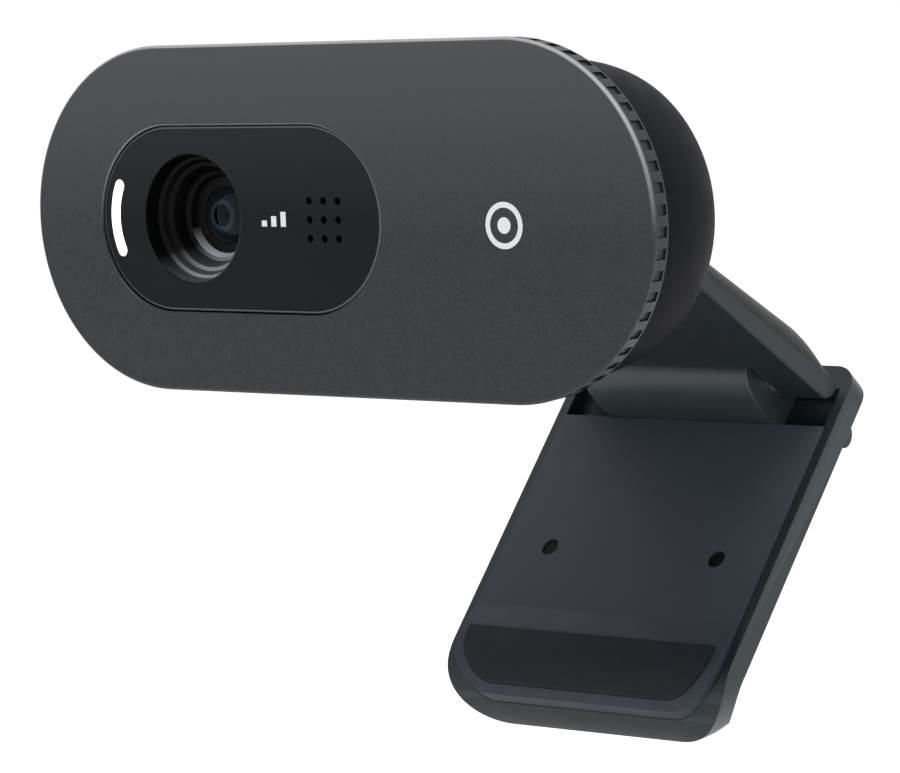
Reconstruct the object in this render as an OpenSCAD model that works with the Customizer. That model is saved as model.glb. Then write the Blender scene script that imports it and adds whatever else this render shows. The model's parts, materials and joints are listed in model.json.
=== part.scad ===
// Clip-on webcam: a wide stadium-shaped camera head on a folding monitor clip.
// Millimetres, +Z up, the lens looks along -Y, X is left to right across the head.
// The origin is the middle of the arm's flat underside, which rests on a monitor's top edge.
// The head tilts on the arm and the clip's flap folds on the arm's far end, both about X.

/* [Head] */
// Width of the camera head
head_w = 72.9; // [66:0.1:80]
// Height of the camera head
head_h = 31.9; // [30:0.1:36]
// Depth of the front cover's side wall
rim_d = 2.3; // [2.1:0.1:3]
// Rounding of the front cover's edge
rim_round = 0.4; // [0.3:0.1:0.8]
// Wall thickness of the front cover
cover_wall = 1.5; // [1.2:0.1:2]
// Depth of the whole head, from the front face to the back of the housing
head_d = 23; // [22:0.1:26]

/* [Lens panel] */
// Width of the inset lens panel
panel_w = 34.1; // [30:0.1:38]
// Height of the inset lens panel
panel_h = 17; // [15:0.1:20]
// Sideways place of the panel's centre
panel_x = -10.9; // [-14:0.1:-8]
// Sideways place of the lens axis
lens_x = -16.7; // [-18:0.1:-15]
// Radius of the lens recess at the panel's face
funnel_r = 6; // [5.5:0.1:6.5]
// Distance between neighbouring microphone holes
mic_pitch = 1.7; // [1.5:0.1:2]
// Diameter of a microphone hole
mic_hole_d = 0.7; // [0.5:0.1:0.9]

/* [Rear housing] */
// Half width of the housing at the seam
housing_half_w = 34.4; // [34:0.1:35.2]
// Half height of the housing at the seam
housing_half_h = 14.5; // [14:0.1:14.8]
// How much the half width shrinks towards the back
shrink_w = 13.6; // [10:0.1:14]
// How much the half height shrinks towards the back
shrink_h = 4; // [3:0.1:4.5]
// How far the housing's centre lies below the cover's centre
housing_drop = 0.5; // [0:0.1:0.9]
// Wall thickness of the housing
housing_wall = 1.4; // [1.2:0.1:1.6]

/* [Tilt hinge] */
// Depth of the tilt axis behind the front face
tilt_y = 19.2; // [19:0.1:20]
// Radius of the arm's hinge barrel
barrel_r = 3.6; // [3.4:0.1:3.8]
// Slope of the arm below the level head, in degrees
arm_slope = 32.6; // [25:0.1:36]
// Radius of the tilt pin
tilt_pin_r = 1.2; // [1:0.05:1.3]

/* [Clip] */
// Half width of the clip's arm
arm_half_w = 16; // [15.5:0.1:16]
// Distance from the tilt axis to the flap's hinge axis
arm_len = 40; // [38:0.1:46]
// Angle between the arm's underside and the flap at rest, in degrees
jaw_angle = 81.1; // [75:0.1:100]
// Radius of the flap's hinge pin
hinge_pin_r = 0.8; // [0.7:0.05:0.9]
// Half width of the flap
flap_half_w = 17; // [16.8:0.1:17.4]
// Drop from the hinge axis to the underside of the flap's curled foot
flap_len = 36.8; // [36:0.1:39]
// Outer radius of the curl at the flap's free end
curl_r = 5.8; // [5.5:0.1:6.5]
// Half width of the flap's knuckle between the arm's ears
knuckle_half_w = 10.2; // [9:0.1:10.4]

/* [Hidden] */
$fn = 72;
run = 0.04;
head_r = head_h / 2;
head_c = head_w / 2 - head_r;
seam_gap = 0.1;
housing_y = rim_d + seam_gap;
back_inner_y = head_d - housing_wall;
bowl_rings = 9;
bowl_arc = 16;

window_clear = 0.12;
snap_x = 18;
snap_z = [11.1, -13.2];
snap_w = 4.4;
panel_y = 0.25;
panel_t = 1.35;
funnel_mid_r = 4.7;
lens_y = 5.6;
barrel_end_y = 10.6;
board_y = 11.8;
board_t = 1;
// half the side of the square lens holder
holder_half = 4.75;
board_w = 58;
board_h = 20;
mic_x = -0.65;
led_arc_r = 7.1;
led_half_angle = 25;
led_w = 1.2;
led_x = panel_x - panel_w / 2 + panel_h / 2;
post_places = [[25, 6.6], [25, -7.2]];
panel_post = [-25.5, -6.2];
post_r = 1.9;
pilot_r = 0.6;

tilt_z = -0.2;
pocket_half_w = arm_half_w + 0.4;
pocket_wall = 1.25;
recess_r = barrel_r + 0.4;
tilt_up_angle = 12.5;
tilt_down_angle = -arm_slope - 8.5;
boss_places = [[-13, 8.1], [13, 8.1], [-13, -9.3], [13, -9.3]];
boss_y = 19.2;
tab_t = 1.4;
tab_r = 1.9;
tab_len = 4.5;
boss_r = 1.8;
gland_z = 7.7;
gland_bore_r = 1.6;
gland_r = 2.15;
gland_lip = 0.5;

arm_under = 0.8;
rest_s = 21;
rest_start = 10;
rest_relief = 0.25;
arm_hinge_z = 2.5;
arm_end_r = 1.75;
arm_chamfer = 0.9;
// rounding of the arm's top edges: distance in from the side, height
crown = [[0, 2.9], [0.5, 4.2], [1.5, 5.3], [2.6, 5.8]];
// top line of the arm: share of its length, height
top_line = [[0.965, 5.2], [0.92, 5.6], [0.84, 5.65], [0.7, 5.4], [0.56, 5], [0.42, 4.6],
    [0.16, 3.75]];
barrel_end = 6;
notch_half_w = knuckle_half_w + 1;
notch_len = 5.85;
washer_t = 0.9;
barrel_half_w = pocket_half_w - washer_t - 0.06;
hinge_y = tilt_y + arm_len * cos(arm_slope) + arm_hinge_z * sin(arm_slope);
hinge_z = tilt_z - arm_len * sin(arm_slope) + arm_hinge_z * cos(arm_slope);
flap_turn = jaw_angle - arm_slope - 90;
rest_y = tilt_y + rest_s * cos(arm_slope) + arm_under * sin(arm_slope);
rest_z = tilt_z - rest_s * sin(arm_slope) + arm_under * cos(arm_slope);

// reach of cutting shapes beyond the part
far = 30;
plate_drop = 2.3;
plate_top = 3.8;
plate_t = 1.2;
plate_half_w = 16;
rim_face = plate_drop + 0.15;
shell_t = 2.6;
flap_top = 3.5;
foot_corner = 6.8;
rib_r = 1.3;
rib_z = -3.2;
curl_start = flap_len - curl_r;
curl_y = rim_face + curl_r;
bay_half_w = 15.9;
bay_floor = 3.9;
bay_top = 0.8;
foot_top = 26.8;
foot_ramp = 2.5;
foot_face = plate_drop - 0.6;
foot_end = 36;
pad_face = foot_face - 0.3;
pad_back = foot_face + 0.85;
pad_top = 29.8;
pad_end = 35.2;
pad_half_w = 14.9;
plate_corner = 5;
pad_corner = 4.5;
// front outline of the knuckle, in y and z
nose = [[1, -4], [-0.5, -4.03], [-2.1, -3.94], [-3.4, -3.65], [-4.4, -3.1], [-5.4, -2.2],
    [-5.6, 2], [-3.2, 1.6], [0, 2.2]];
flap_screw_x = 10.2;
flap_screw_z = 19.7;

// ---------- helpers ----------

// Stadium outline, its long axis along x
module stadium(w, h) {
    for (side = [-1, 1]) translate([side * (w - h) / 2, 0]) circle(d = h);
    square([w - h, h], center = true);
}

// Extrudes an XZ outline from y0 to y1
module slab(y0, y1) {
    translate([0, y1, 0]) rotate([90, 0, 0]) linear_extrude(y1 - y0) children();
}

// Round bar along Y from y0 to y1
module bar_y(r, y0, y1) {
    translate([0, y0, 0]) rotate([-90, 0, 0]) cylinder(r = r, h = y1 - y0);
}

// Round bar along X, centred
module bar_x(r, half) {
    rotate([0, 90, 0]) cylinder(r = r, h = 2 * half, center = true);
}

// Extrudes a profile drawn in YZ along X from x0 to x1
module side_slab(x0, x1) {
    translate([x0, 0, 0]) rotate([90, 0, 90]) linear_extrude(x1 - x0) children();
}

module at_lens() { translate([lens_x, 0, 0]) children(); }
module at_tilt() { translate([0, tilt_y, tilt_z]) children(); }
// Frames of the three bodies; lengths below are measured from the front cover's face
module in_head() { translate([0, -rest_y, -rest_z]) children(); }
module in_arm() { in_head() at_tilt() rotate([-arm_slope, 0, 0]) children(); }
module in_flap() {
    in_head() translate([0, hinge_y, hinge_z]) rotate([flap_turn, 0, 0]) children();
}

// ---------- front of the head ----------

module cover_profile() {
    square([head_r - rim_round, rim_d]);
    translate([0, rim_round]) square([head_r, rim_d - rim_round]);
    translate([head_r - rim_round, rim_round]) circle(rim_round);
}

// Screw post for the circuit board, from y0 up to the board
module board_post(p, y0) translate([p[0], 0, p[1]]) difference() {
    bar_y(post_r, y0, board_y);
    bar_y(pilot_r, board_y - 6, board_y + 1);
}

module cover_solid() {
    for (side = [-1, 1])
        translate([side * head_c, 0, 0]) rotate([-90, 0, 0]) rotate_extrude() cover_profile();
    translate([-head_c, 0, 0]) rotate([0, 90, 0]) linear_extrude(2 * head_c) {
        cover_profile();
        mirror([1, 0]) cover_profile();
    }
}

module front_cover() color("#46494b") in_head() {
    difference() {
        cover_solid();
        slab(cover_wall, rim_d + 1)
            stadium(head_w - 2 * cover_wall, head_h - 2 * cover_wall);
        translate([panel_x, 0, 0]) slab(-1, cover_wall + 1)
            stadium(panel_w + 2 * window_clear, panel_h + 2 * window_clear);
    }
    for (p = post_places) board_post(p, cover_wall - 0.2);
    for (x = [-snap_x, 0, snap_x], z = snap_z)
        translate([x - snap_w / 2, cover_wall - 0.2, z]) cube([snap_w, 6, 1]);
}

module mic_holes(y0, y1) {
    for (i = [-1:1], j = [-1:1])
        translate([mic_x + i * mic_pitch, 0, j * mic_pitch]) bar_y(mic_hole_d / 2, y0, y1);
}

// Outline of the glowing bar: an arc band that follows the panel's round end
module led_band(grow) {
    steps = 12;
    angles = [for (i = [0:steps]) 180 - led_half_angle + 2 * led_half_angle * i / steps];
    inner_r = led_arc_r - led_w / 2 - grow;
    outer_r = led_arc_r + led_w / 2 + grow;
    translate([led_x, 0]) {
        polygon(concat([for (a = angles) outer_r * [cos(a), sin(a)]],
            [for (i = [steps:-1:0]) inner_r * [cos(angles[i]), sin(angles[i])]]));
        for (a = [angles[0], angles[steps]])
            translate(led_arc_r * [cos(a), sin(a)]) circle(r = led_w / 2 + grow);
    }
}

module lens_panel() color("#2b2d31") in_head() {
    panel_plate();
    board_post(panel_post, cover_wall + 0.9);
}

module panel_plate() difference() {
    union() {
        translate([panel_x, 0, 0]) slab(panel_y, panel_y + panel_t) stadium(panel_w, panel_h);
        translate([panel_x, 0, 0]) slab(cover_wall + 0.05, cover_wall + 0.95)
            stadium(panel_w + 2, panel_h + 2);
    }
    at_lens() bar_y(funnel_r, -1, 5);
    slab(-1, 5) led_band(0.03);
    mic_holes(-1, 5);
}

// Stepped cone that leads in to the lens
module lens_shroud() color("#17191c") in_head() at_lens() rotate([-90, 0, 0]) rotate_extrude()
    polygon([[funnel_r - 0.03, 0.35], [funnel_r - 0.03, lens_y - 0.1], [4.3, lens_y - 0.1],
        [4.3, lens_y - 0.9], [3.15, lens_y - 0.9], [3.15, lens_y - 1.3], [3.75, lens_y - 1.9],
        [4.05, lens_y - 1.9], [funnel_mid_r - 0.25, lens_y - 2.7], [funnel_mid_r, lens_y - 2.7],
        [5.05, lens_y - 3.5], [5.2, lens_y - 3.5], [5.55, 0.35]]);

module lens_barrel() color("#101215") in_head() at_lens() difference() {
    union() {
        bar_y(4.2, lens_y - 0.8, lens_y + 1);
        bar_y(3.6, lens_y + 0.9, barrel_end_y);
    }
    bar_y(2.7, lens_y - 1, lens_y + 0.4);
    bar_y(2.45, lens_y, barrel_end_y + 1);
}

// Domed front glass, seated in the barrel's mouth
module lens_front_element() color("#2a3344") in_head() at_lens() intersection() {
    bar_y(2.66, lens_y - 0.9, lens_y + 0.38);
    translate([0, lens_y + 4, 0]) sphere(r = 4.75);
}

module lens_spacer() color("#0c0d0f") in_head() at_lens() difference() {
    bar_y(2.4, lens_y + 0.5, lens_y + 2.1);
    bar_y(1.5, lens_y, lens_y + 3);
}

module lens_rear_element() color("#39445a") in_head() at_lens() intersection() {
    bar_y(2.4, lens_y + 2.15, lens_y + 3.8);
    translate([0, lens_y - 0.2, 0]) sphere(r = 4);
}

module lens_holder() color("#15171a") in_head() at_lens() difference() {
    union() {
        translate([-holder_half, board_y - 1.4, -holder_half])
            cube([2 * holder_half, 1.35, 2 * holder_half]);
        bar_y(4.5, lens_y + 1.4, board_y - 1.2);
    }
    bar_y(3.64, lens_y, barrel_end_y + 0.02);
    bar_y(3.1, lens_y, board_y - 1.1);
    translate([-3.4, board_y - 1.12, -3.4]) cube([6.8, 3, 6.8]);
}

module ir_cut_filter() color("#7d4a57") in_head() at_lens()
    translate([-1.8, barrel_end_y - 0.45, -1.55]) cube([3.6, 0.35, 3.1]);

module image_sensor() color("#3a3f3a") in_head() at_lens()
    translate([-2.9, board_y - 0.85, -2.6]) cube([5.8, 0.85, 5.2]);

// ---------- electronics ----------

module circuit_board() color("#1f4d35") in_head() difference() {
    slab(board_y, board_y + board_t) stadium(board_w, board_h);
    for (p = concat(post_places, [panel_post])) translate([p[0], 0, p[1]])
        bar_y(0.85, board_y - 1, board_y + 3);
}

module usb_controller_chip() color("#1b1b1d") in_head()
    translate([4, board_y - 1, -4]) cube([7, 1, 7]);

module memory_chip() color("#1d1d20") in_head()
    translate([14.5, board_y - 0.9, -2.6]) cube([5, 0.9, 4]);

module status_led() color("#e8e4d0") in_head()
    translate([led_x - led_arc_r - 0.9, board_y - 0.8, -1.6]) cube([1.8, 0.8, 3.2]);

// Clear guide that carries the light from the board to the arc in the panel
module led_light_pipe() color("#f4f6f8") in_head() {
    slab(panel_y - 0.05, 3.2) led_band(0);
    translate([led_x - led_arc_r - 0.6, 3, -2.4]) cube([1.2, board_y - 4.4, 4.8]);
}

module at_mic() { translate([mic_x, 0, 0]) children(); }

module microphone_mesh() color("#0e0e10") in_head() at_mic()
    bar_y(3.2, cover_wall + 1.0, cover_wall + 1.25);

module microphone_boot() color("#26282a") in_head() at_mic() difference() {
    bar_y(3.4, cover_wall + 1.3, cover_wall + 5.6);
    bar_y(2.0, cover_wall, cover_wall + 5);
}

module microphone_capsule() color("#b9bcc0") in_head() at_mic()
    bar_y(1.98, cover_wall + 2, cover_wall + 4.95);

module board_connector() color("#e6dfc8") in_head() difference() {
    translate([8, board_y + board_t, 4.2]) cube([9, 3.4, 4]);
    translate([8.8, board_y + board_t + 1, 4.9]) cube([7.4, 4, 2.6]);
}

// Pan-head screw pointing along -Y, its head's underside at y
module screw_y(y, head_radius, head_t, shank_r, shank) {
    bar_y(shank_r, y - shank, y + 0.01);
    difference() {
        bar_y(head_radius, y, y + head_t);
        for (turn = [0, 90]) translate([0, y + head_t, 0]) rotate([0, turn, 0])
            cube([1.3, 0.6, 0.3], center = true);
    }
}

module board_screws() color("#9a9da1") in_head()
    for (p = concat(post_places, [panel_post])) translate([p[0], 0, p[1]])
        screw_y(board_y + board_t, 1.5, 0.9, pilot_r, 5);

// ---------- rear housing ----------

// Points of one ring of the bowl; k runs from the seam to the back, inset is the wall
function bowl_ring(k, inset) =
    let (a = 90 * k / bowl_rings,
        half_w = housing_half_w - shrink_w * (1 - cos(a)) - inset,
        half_h = housing_half_h - shrink_h * (1 - cos(a)) - inset,
        y = housing_y + (head_d - inset - housing_y) * sin(a))
    concat(
        [for (i = [0:bowl_arc]) let (b = -90 + 180 * i / bowl_arc)
            [half_w - half_h + half_h * cos(b), y, half_h * sin(b) - housing_drop]],
        [for (i = [0:bowl_arc]) let (b = 90 + 180 * i / bowl_arc)
            [half_h - half_w + half_h * cos(b), y, half_h * sin(b) - housing_drop]]);

module bowl_shell() {
    n = 2 * (bowl_arc + 1);
    inner = n * (bowl_rings + 1);
    points = concat(
        [for (k = [0:bowl_rings]) for (p = bowl_ring(k, 0)) p],
        [for (k = [0:bowl_rings]) for (p = bowl_ring(k, housing_wall)) p]);
    faces = concat(
        [for (k = [0:bowl_rings - 1], i = [0:n - 1]) let (j = (i + 1) % n)
            each [[k * n + i, k * n + j, (k + 1) * n + j],
                [k * n + i, (k + 1) * n + j, (k + 1) * n + i]]],
        [for (k = [0:bowl_rings - 1], i = [0:n - 1]) let (j = (i + 1) % n)
            each [[inner + k * n + i, inner + (k + 1) * n + j, inner + k * n + j],
                [inner + k * n + i, inner + (k + 1) * n + i, inner + (k + 1) * n + j]]],
        [for (i = [0:n - 1]) let (j = (i + 1) % n)
            each [[i, inner + i, inner + j], [i, inner + j, j]]],
        [[for (i = [0:n - 1]) bowl_rings * n + i]],
        [[for (i = [n - 1:-1:0]) inner + bowl_rings * n + i]]);
    polyhedron(points, faces, convexity = 6);
}

// Space swept by the arm's barrel and plate as the head tilts
module tilt_recess(half, grow) at_tilt() {
    bar_x(recess_r + grow, half);
    low = arm_under - 0.4 - grow;
    high = recess_r + grow;
    reach = 12;
    side_slab(-half, half) polygon([[0, -0.1],
        [low * -sin(tilt_down_angle) + reach * cos(tilt_down_angle),
            low * cos(tilt_down_angle) + reach * sin(tilt_down_angle)],
        [reach, 0],
        [reach * cos(tilt_up_angle) - high * sin(tilt_up_angle),
            reach * sin(tilt_up_angle) + high * cos(tilt_up_angle)],
        [-high * sin(tilt_up_angle), high * cos(tilt_up_angle)]]);
}

module rear_housing() color("#333438") in_head() {
    difference() {
        bowl_shell();
        tilt_recess(pocket_half_w, 0);
        translate([0, 0, gland_z]) bar_y(gland_r, back_inner_y - 3, head_d + 1);
    }
    for (p = boss_places) translate([p[0], 0, p[1]]) difference() {
        bar_y(boss_r, boss_y, back_inner_y + 0.2);
        bar_y(pilot_r, boss_y - 1, back_inner_y);
    }
}

// Pocket that holds the tilt pin, screwed to the housing's back wall
module hinge_bracket() color("#2a2c2f") in_head() difference() {
    union() {
        intersection() {
            at_tilt() bar_x(recess_r + pocket_wall, pocket_half_w + pocket_wall);
            translate([-pocket_half_w - 2, 0, -10])
                cube([2 * pocket_half_w + 4, back_inner_y - 0.05, 20]);
        }
        at_tilt() translate([-pocket_half_w - pocket_wall, 0, -recess_r - pocket_wall])
            cube([2 * (pocket_half_w + pocket_wall), back_inner_y - 0.05 - tilt_y,
                2 * recess_r + 2.4]);
        for (p = boss_places) translate([p[0], 0, p[1]]) {
            bar_y(tab_r, boss_y - tab_t, boss_y - 0.02);
            translate([-tab_r, boss_y - tab_t, p[1] > 0 ? -tab_len : 0])
                cube([2 * tab_r, tab_t - 0.02, tab_len]);
        }
    }
    tilt_recess(pocket_half_w, 0);
    at_tilt() bar_x(tilt_pin_r, pocket_half_w + pocket_wall + 1);
    for (p = boss_places) translate([p[0], 0, p[1]]) bar_y(0.8, boss_y - 3, boss_y + 1);
}

module bracket_screws() color("#9a9da1") in_head()
    for (p = boss_places) translate([p[0], boss_y - tab_t, p[1]]) rotate([180, 0, 0])
        screw_y(0, 1.4, 0.8, pilot_r, 3);

// Grommet at the cable outlet
module cable_gland() color("#1e2022") in_head() translate([0, 0, gland_z]) difference() {
    union() {
        bar_y(gland_r - 0.02, back_inner_y - 1, head_d + 0.1);
        bar_y(gland_r + 0.35, head_d + 0.02, head_d + gland_lip);
    }
    bar_y(gland_bore_r, back_inner_y - 2, head_d + 2);
}

module tilt_pin() color("#b8babd") in_head() at_tilt()
    bar_x(tilt_pin_r, pocket_half_w + pocket_wall - 0.05);

module tilt_friction_washers() color("#8d9094") in_head() at_tilt()
    for (side = [-1, 1]) translate([side * (pocket_half_w - 0.03 - washer_t / 2), 0, 0])
        difference() {
            bar_x(2.9, washer_t / 2);
            bar_x(tilt_pin_r + 0.02, washer_t);
        }

// ---------- clip ----------

// Side outline of the arm, in the arm's own frame: barrel, swelling plate, round end
module arm_outline() {
    circle(barrel_r);
    polygon([[0, arm_under + rest_relief], [rest_start, arm_under + rest_relief],
        [rest_start, arm_under], [arm_len, arm_under], [arm_len, arm_hinge_z + arm_end_r],
        for (p = top_line) [p[0] * arm_len, p[1]], [0, barrel_r]]);
    translate([arm_len, arm_hinge_z]) circle(arm_end_r);
}

module clip_arm() color("#2f3337") in_arm() difference() {
    intersection() {
        side_slab(-arm_half_w, arm_half_w) arm_outline();
        union() {
            slab(barrel_end, arm_len + 3) polygon([[-arm_half_w, arm_under + arm_chamfer],
                [-arm_half_w + arm_chamfer, arm_under], [arm_half_w - arm_chamfer, arm_under],
                [arm_half_w, arm_under + arm_chamfer],
                for (p = crown) [arm_half_w - p[0], p[1]],
                for (i = [len(crown) - 1:-1:0]) [crown[i][0] - arm_half_w, crown[i][1]]]);
            translate([-barrel_half_w, -8, -8]) cube([2 * barrel_half_w, barrel_end + 8.1, 16]);
        }
    }
    bar_x(tilt_pin_r + run, arm_half_w + 1);
    translate([-notch_half_w, arm_len - notch_len, -3])
        cube([2 * notch_half_w, notch_len + 6, 12]);
    translate([0, arm_len, arm_hinge_z]) bar_x(hinge_pin_r + run, arm_half_w - 1);
}

// Panel with square top corners and round bottom corners, from low up to high
module round_foot(half, corner, low, high) {
    translate([-half, low + corner]) square([2 * half, high - low - corner]);
    intersection() {
        for (side = [-1, 1]) translate([side * (half - corner), low + corner]) circle(corner);
        translate([-half, low]) square([2 * half, high - low]);
    }
    translate([-half + corner, low]) square([2 * (half - corner), min(corner, high - low)]);
}

// Side view, drawn in y and z, of all that lies before the bent surface at a depth
module ahead_of(depth) difference() {
    translate([-far, -2 * far]) square([far + curl_y, 3 * far]);
    translate([depth, -curl_start]) square([2 * far, 2 * far]);
    translate([curl_y, -curl_start]) circle(curl_y - depth);
}

// Side view of the bent sheet between two depths; its foot curls to the back
module sheet(front, back) difference() {
    ahead_of(back);
    ahead_of(front);
}

// Flap outline seen from the front, drawn in x and z, with round top corners
module flap_outline() {
    corner = 2.5;
    translate([-flap_half_w, -far * 2]) square([2 * flap_half_w, 2 * far + flap_top - corner]);
    translate([-flap_half_w + corner, 0])
        square([2 * (flap_half_w - corner), flap_top]);
    for (side = [-1, 1]) translate([side * (flap_half_w - corner), flap_top - corner])
        circle(corner);
}

// Round corners at the end of the curl, cut square to its middle
module curl_corners() translate([0, curl_y, -curl_start]) rotate([45, 0, 0])
    slab(-far, far) round_foot(flap_half_w, foot_corner, -curl_r * sin(45), 2 * far);

module flap_shell() color("#3d4444") in_flap() difference() {
    intersection() {
        side_slab(-flap_half_w, flap_half_w) {
            sheet(rim_face, rim_face + shell_t);
            translate([rim_face + shell_t - 0.5, rib_z]) circle(rib_r);
        }
        slab(-far, far) flap_outline();
        curl_corners();
    }
    // seat of the inner plate
    intersection() {
        side_slab(-far, far) ahead_of(plate_drop + plate_t + 0.02);
        slab(-far, far) plate_outline(0.05);
    }
    // bay for the knuckle behind the arm's ears
    translate([-bay_half_w, -far, -plate_top + 0.03])
        cube([2 * bay_half_w, far + bay_floor, plate_top + bay_top]);
    for (side = [-1, 1]) translate([side * flap_screw_x, 0, -flap_screw_z])
        bar_y(0.5, 0, plate_drop + plate_t + 1);
}

// Inner plate; a low ramp leads to the raised foot that carries the pad
module flap_inner_plate() color("#363a40") in_flap() difference() {
    intersection() {
        side_slab(-plate_half_w, plate_half_w) {
            sheet(plate_drop, plate_drop + plate_t);
            intersection() {
                sheet(foot_face, plate_drop + plate_t);
                polygon([[far, -foot_top], [plate_drop, -foot_top],
                    [foot_face, -foot_top - foot_ramp], [-far, -foot_top - foot_ramp],
                    [-far, -2 * far], [far, -2 * far]]);
            }
        }
        slab(-far, far) plate_outline(0);
    }
    intersection() {
        side_slab(-far, far) ahead_of(pad_back + 0.02);
        slab(-far, far) pad_outline(0.04);
    }
    for (side = [-1, 1]) translate([side * flap_screw_x, 0, -flap_screw_z]) {
        bar_y(0.95, 0, plate_drop + 0.7);
        bar_y(0.55, 0, plate_drop + 4);
    }
}

module plate_outline(grow) {
    round_foot(plate_half_w + grow, plate_corner + grow, -foot_end - grow, -plate_top + grow);
}

module pad_outline(grow) {
    round_foot(pad_half_w + grow, pad_corner + grow, -pad_end - grow, -pad_top + grow);
}

module foot_pad() color("#22262b") in_flap() intersection() {
    side_slab(-pad_half_w, pad_half_w) sheet(pad_face, pad_back);
    slab(-far, far) pad_outline(0);
}

// Curved block between the arm's ears; it carries the hinge pin in its bore
module flap_knuckle() color("#3f4646") in_flap() difference() {
    side_slab(-knuckle_half_w, knuckle_half_w) {
        intersection() {
            circle(5.5);
            polygon([[rim_face - 0.05, bay_top - 0.05], [bay_floor - 0.02, bay_top - 0.05],
                [bay_floor - 0.02, -plate_top + 0.05],
                [plate_drop - 0.02, -plate_top + 0.05], for (p = nose) p]);
        }
        circle(2.4);
    }
    bar_x(hinge_pin_r, knuckle_half_w + 1);
}

module flap_screws() color("#85888c") in_flap()
    for (side = [-1, 1]) translate([side * flap_screw_x, 0, -flap_screw_z]) {
        bar_y(0.85, plate_drop + 0.2, plate_drop + 0.68);
        bar_y(0.5, plate_drop + 0.6, plate_drop + 2.1);
    }

module hinge_pin() color("#b8babd") in_flap() bar_x(hinge_pin_r, arm_half_w - 1.2);

module hinge_friction_washers() color("#8d9094") in_flap()
    for (side = [-1, 1]) translate([side * (knuckle_half_w + 0.5), 0, 0]) difference() {
        bar_x(1.6, 0.45);
        bar_x(hinge_pin_r + 0.02, 1);
    }

front_cover();
lens_panel();
lens_shroud();
lens_barrel();
lens_front_element();
lens_spacer();
lens_rear_element();
lens_holder();
ir_cut_filter();
image_sensor();
circuit_board();
usb_controller_chip();
memory_chip();
status_led();
led_light_pipe();
microphone_mesh();
microphone_boot();
microphone_capsule();
board_connector();
board_screws();
rear_housing();
hinge_bracket();
bracket_screws();
cable_gland();
tilt_pin();
tilt_friction_washers();
clip_arm();
flap_shell();
flap_inner_plate();
flap_knuckle();
flap_screws();
foot_pad();
hinge_pin();
hinge_friction_washers();
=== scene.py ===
"""Finished shapes and materials of a clip-on webcam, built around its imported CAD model.

Lengths inside the shape functions are in millimetres, in the frame of the body they belong to:
the head's frame has its origin at the middle of the front cover's face, the arm's frame at the
tilt axis, and the flap's frame at the clip's hinge axis.
"""
import json
import math

import bmesh
import bpy
from mathutils import Matrix, Vector


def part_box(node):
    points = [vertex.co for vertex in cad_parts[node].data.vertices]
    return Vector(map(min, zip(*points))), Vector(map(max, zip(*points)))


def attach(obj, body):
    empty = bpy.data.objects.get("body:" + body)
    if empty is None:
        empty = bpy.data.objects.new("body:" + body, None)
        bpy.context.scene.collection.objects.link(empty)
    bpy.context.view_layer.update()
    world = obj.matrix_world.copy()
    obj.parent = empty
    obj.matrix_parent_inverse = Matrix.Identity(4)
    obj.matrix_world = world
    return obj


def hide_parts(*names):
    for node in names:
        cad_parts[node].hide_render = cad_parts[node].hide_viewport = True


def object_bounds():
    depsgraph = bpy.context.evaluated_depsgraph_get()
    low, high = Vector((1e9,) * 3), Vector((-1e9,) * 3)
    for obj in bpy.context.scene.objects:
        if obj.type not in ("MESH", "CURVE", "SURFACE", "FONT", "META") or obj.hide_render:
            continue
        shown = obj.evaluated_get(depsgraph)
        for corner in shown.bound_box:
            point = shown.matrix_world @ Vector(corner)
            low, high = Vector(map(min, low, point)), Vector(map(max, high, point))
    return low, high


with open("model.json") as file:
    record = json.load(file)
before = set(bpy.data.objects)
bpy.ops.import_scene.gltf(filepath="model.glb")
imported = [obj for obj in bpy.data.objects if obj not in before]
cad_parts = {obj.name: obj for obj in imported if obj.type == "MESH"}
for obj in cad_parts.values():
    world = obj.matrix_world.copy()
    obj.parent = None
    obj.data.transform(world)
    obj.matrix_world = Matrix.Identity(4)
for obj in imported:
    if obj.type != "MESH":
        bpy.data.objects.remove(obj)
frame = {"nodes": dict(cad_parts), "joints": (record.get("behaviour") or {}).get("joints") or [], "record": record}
cad_bounds = [list(corner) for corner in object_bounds()]

MM = 0.001
SIDEWAYS = Vector((1, 0, 0))
UPWARD = Vector((0, 0, 1))
INWARD = Vector((0, 1, 0))
record = frame["record"]
joints = {joint["name"]: joint for joint in frame["joints"]}
mounts = {mount["name"]: mount for mount in record["mounts"]}

# ---------------------------------------------------------------- frames of the three bodies

cover_low, cover_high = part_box("front_cover")
head_centre = Vector((0, cover_low.y, (cover_low.z + cover_high.z) / 2))
tilt_axis = Vector(joints["head_tilt"]["pos_m"])
hinge_axis = Vector(joints["flap_fold"]["pos_m"])


def frame_at(origin, y_axis):
    """Placement in millimetres at origin, turned about X so that its Y runs along y_axis."""
    z_axis = SIDEWAYS.cross(y_axis).normalized()
    turn = Matrix((SIDEWAYS, y_axis.normalized(), z_axis)).transposed().to_4x4()
    return Matrix.Translation(origin) @ turn @ Matrix.Scale(MM, 4)


arm_up = -Vector(mounts["monitor_rest"]["axis"])
flap_back = -Vector(mounts["monitor_back"]["axis"])
HEAD = frame_at(head_centre, INWARD)
ARM = frame_at(tilt_axis, arm_up.cross(SIDEWAYS))
FLAP = frame_at(hinge_axis, flap_back)


def local_box(node, place):
    """A CAD node's box in the axes of one of the frames, in millimetres."""
    inverse = place.inverted()
    points = [inverse @ vertex.co for vertex in frame["nodes"][node].data.vertices]
    low = Vector([min(p[axis] for p in points) for axis in range(3)])
    high = Vector([max(p[axis] for p in points) for axis in range(3)])
    return low, high


# ---------------------------------------------------------------- sizes, in millimetres

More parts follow.
